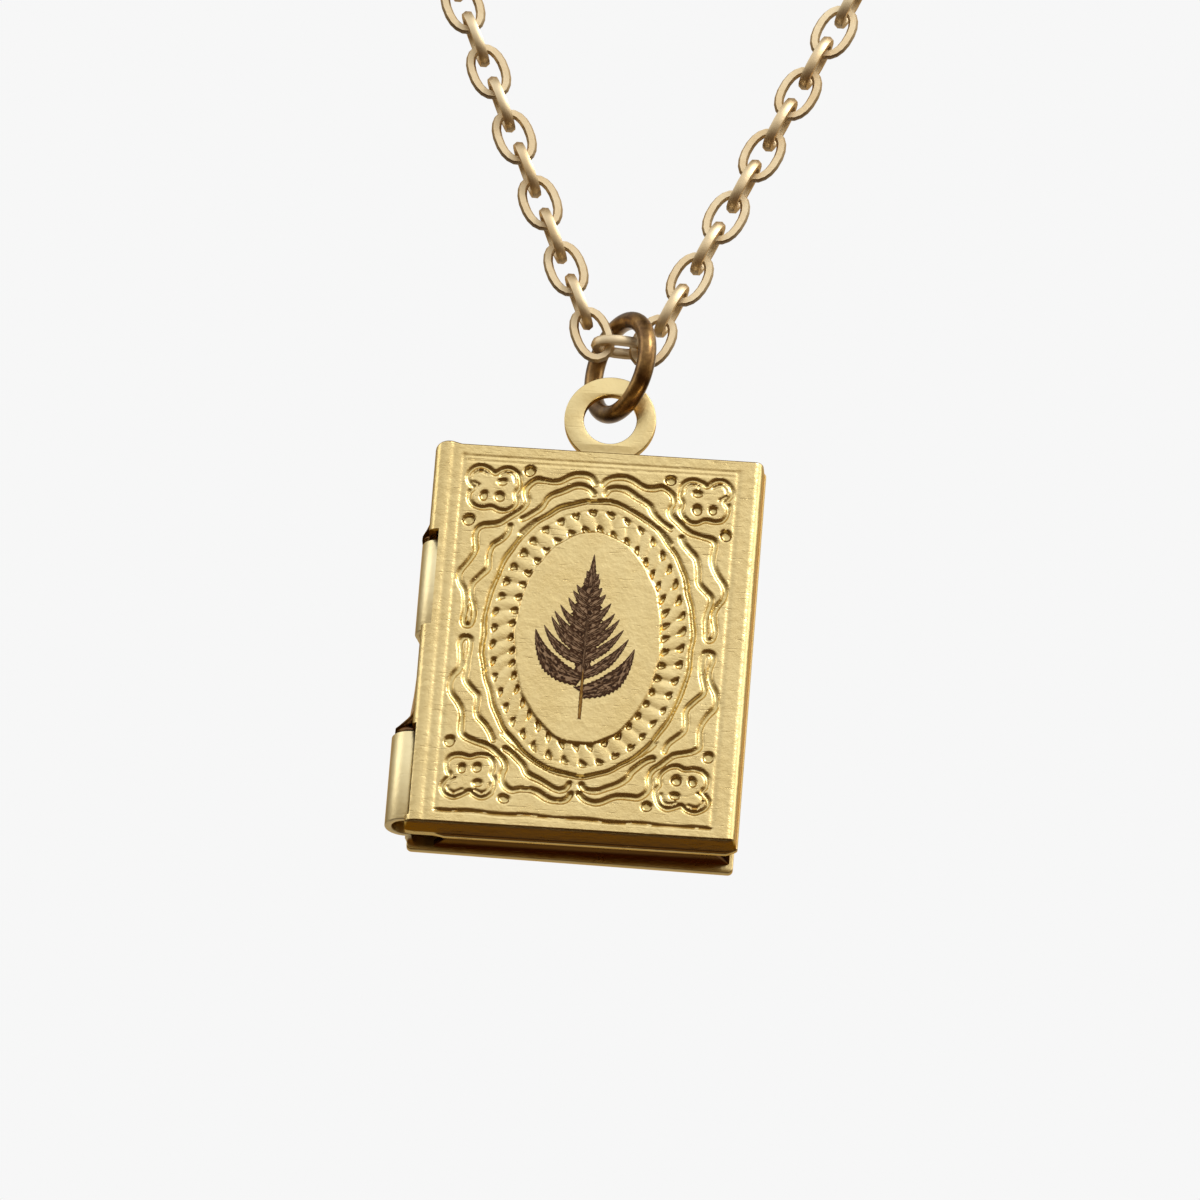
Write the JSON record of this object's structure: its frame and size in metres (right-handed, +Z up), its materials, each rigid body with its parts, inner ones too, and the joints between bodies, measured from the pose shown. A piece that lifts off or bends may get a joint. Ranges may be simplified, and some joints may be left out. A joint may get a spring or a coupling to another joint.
{
  "type": "book locket on a chain",
  "caption": "Small hinged locket shaped like a closed book, its cover stamped with a framed oval, hanging from a jump ring on a whole loop of flat cable chain.",
  "frame": {"origin": "middle of the clasp at the nape, where the chain hangs on the neck", "axes": "+Z up as the necklace hangs, the front cover faces -Y, +X to the viewer's right of the locket"},
  "size_m": [0.098, 0.1003, 0.1412],
  "materials": {
    "front_cover": "satin",
    "back_cover": "satin",
    "hinge_pin": "satin",
    "jump_ring": "tarnished",
    "chain": "polished",
    "clasp": "polished"
  },
  "bodies": {
    "necklace": {"chain": "chain", "clasp": "clasp"},
    "ring": {"jump_ring": "jump_ring"},
    "back": {"back_cover": "back_cover", "hinge_pin": "hinge_pin"},
    "front": {"front_cover": "front_cover"}
  },
  "joints": [
    {"name": "ring_swing", "type": "hinge", "parent": "necklace", "child": "ring", "pos_m": [0, -0.09462, -0.11142], "axis": [0.5592, -0.829, 0], "range_deg": [-20, 20]},
    {"name": "locket_swing", "type": "hinge", "parent": "ring", "child": "back", "pos_m": [0, -0.09462, -0.11562], "axis": [1, 0, 0], "range_deg": [-25, 25]},
    {"name": "cover_hinge", "type": "hinge", "parent": "back", "child": "front", "pos_m": [-0.00788, -0.09659, -0.1301], "axis": [0, 0, -1], "range_deg": [0, 130]}
  ]
}
